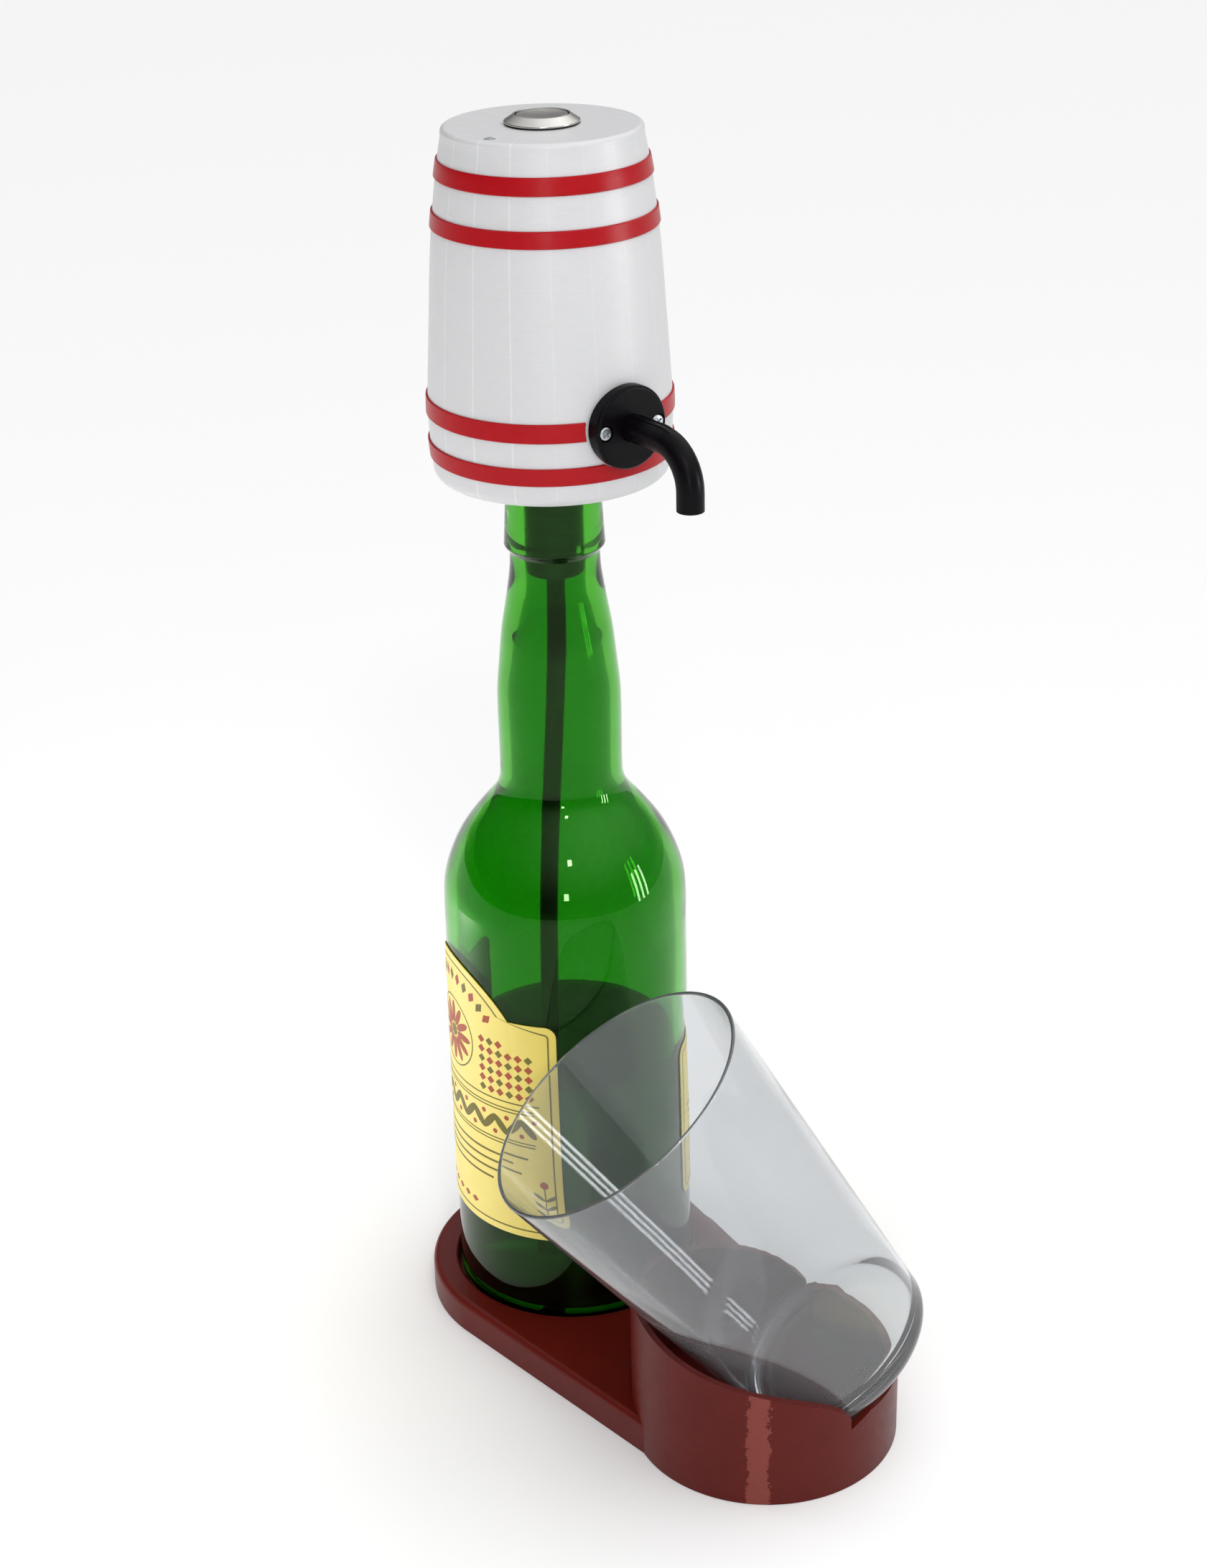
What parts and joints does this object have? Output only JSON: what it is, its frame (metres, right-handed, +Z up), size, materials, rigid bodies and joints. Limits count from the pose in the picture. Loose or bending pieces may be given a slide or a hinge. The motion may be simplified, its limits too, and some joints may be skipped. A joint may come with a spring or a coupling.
{
  "type": "electric cider pourer",
  "caption": "Barrel-shaped electric pump head on a cider bottle, standing in a base whose cup holds a leaning glass under the spout.",
  "frame": {"origin": "the point where the bottle's axis meets the underside of the stand", "axes": "+X from the bottle's axis to the cup's axis, the way that the spout points; +Z up the bottle"},
  "size_m": [0.1986, 0.1311, 0.4073],
  "materials": {
    "red_brown_print": "glossy printed plastic with fine layers",
    "green_glass": "clear saturated green bottle glass",
    "clear_glass": "thin clear drinking glass",
    "label_paper": "matte printed paper",
    "white_print": "glossy white printed plastic",
    "red_print": "satin red plastic",
    "black_plastic": "glossy black plastic",
    "black_rubber": "matte black silicone rubber",
    "hose_silicone": "milky silicone",
    "polished_metal": "polished nickel plate",
    "zinc_steel": "zinc-plated steel",
    "steel": "bare steel",
    "brass": "bare brass",
    "grey_plastic": "matte grey plastic",
    "ferrite": "dark sintered magnet",
    "rotor_core": "laminated core with copper winding",
    "cell_wrap": "shrink-wrapped cell",
    "circuit_board": "solder-masked board",
    "red_wire": "insulated wire",
    "black_wire": "insulated wire"
  },
  "bodies": {
    "stand": {"stand_base": "red_brown_print"},
    "bottle": {"cider_bottle": "green_glass", "front_label": "label_paper", "back_label": "label_paper"},
    "glass": {"cider_glass": "clear_glass"},
    "stopper": {"bottle_stopper": "black_rubber"},
    "button": {"button_cap": "polished_metal", "button_contact": "brass"},
    "rotor": {"motor_shaft": "steel", "motor_rotor": "rotor_core", "eccentric_hub": "grey_plastic", "wobble_pin": "steel"},
    "head": {"barrel_shell": "white_print", "chassis": "white_print", "hoop_top": "red_print", "hoop_upper": "red_print", "hoop_lower": "red_print", "hoop_bottom": "red_print", "spout_flange": "black_plastic", "spout_tube": "black_plastic", "spout_elbow": "black_plastic", "inlet_elbow": "black_plastic", "dip_tube": "black_plastic", "button_base": "black_plastic", "pump_port_cap": "black_plastic", "motor_end_cap": "black_plastic", "flange_gasket": "black_rubber", "button_seal": "black_rubber", "pump_diaphragm": "black_rubber", "inlet_hose": "hose_silicone", "outlet_hose": "hose_silicone", "button_body": "polished_metal", "button_nut": "polished_metal", "flange_screw_left": "zinc_steel", "flange_screw_right": "zinc_steel", "cover_screw_left": "zinc_steel", "cover_screw_right": "zinc_steel", "pump_screw_left": "zinc_steel", "pump_screw_right": "zinc_steel", "battery_contact_bottom": "zinc_steel", "battery_contact_top": "zinc_steel", "usb_socket": "zinc_steel", "motor_can": "steel", "button_spring": "steel", "button_terminal_front": "brass", "button_terminal_rear": "brass", "motor_terminal_left": "brass", "motor_terminal_right": "brass", "pump_head": "grey_plastic", "pump_yoke": "grey_plastic", "status_led": "grey_plastic", "motor_magnet": "ferrite", "battery_cell": "cell_wrap", "charge_board": "circuit_board", "battery_wire_top": "red_wire", "switch_motor_wire": "red_wire", "switch_board_wire": "red_wire", "battery_wire_bottom": "black_wire", "motor_wire": "black_wire", "led_wire": "black_wire"}
  },
  "joints": [
    {"name": "bottle_lift", "type": "slide", "parent": "stand", "child": "bottle", "axis": [0, 0, 1], "range_m": [0, 0.12]},
    {"name": "glass_lift", "type": "slide", "parent": "stand", "child": "glass", "axis": [-0.2942, -0.5056, 0.8111], "range_m": [0, 0.12]},
    {"name": "stopper_lift", "type": "slide", "parent": "bottle", "child": "stopper", "axis": [0, 0, 1], "range_m": [0, 0.29]},
    {"name": "head_swivel", "type": "hinge", "parent": "stopper", "child": "head", "pos_m": [0, 0, 0.298], "axis": [0, 0, 1], "continuous": true},
    {"name": "button_press", "type": "slide", "parent": "head", "child": "button", "axis": [0, 0, -1], "range_m": [0, 0.0015], "stiffness_N_per_m": 900, "springref_m": -0.0015, "deforming": ["button_spring"]},
    {"name": "motor_spin", "type": "hinge", "parent": "head", "child": "rotor", "pos_m": [0.01117, -0.01117, 0.35], "axis": [0, 0, 1], "continuous": true}
  ]
}
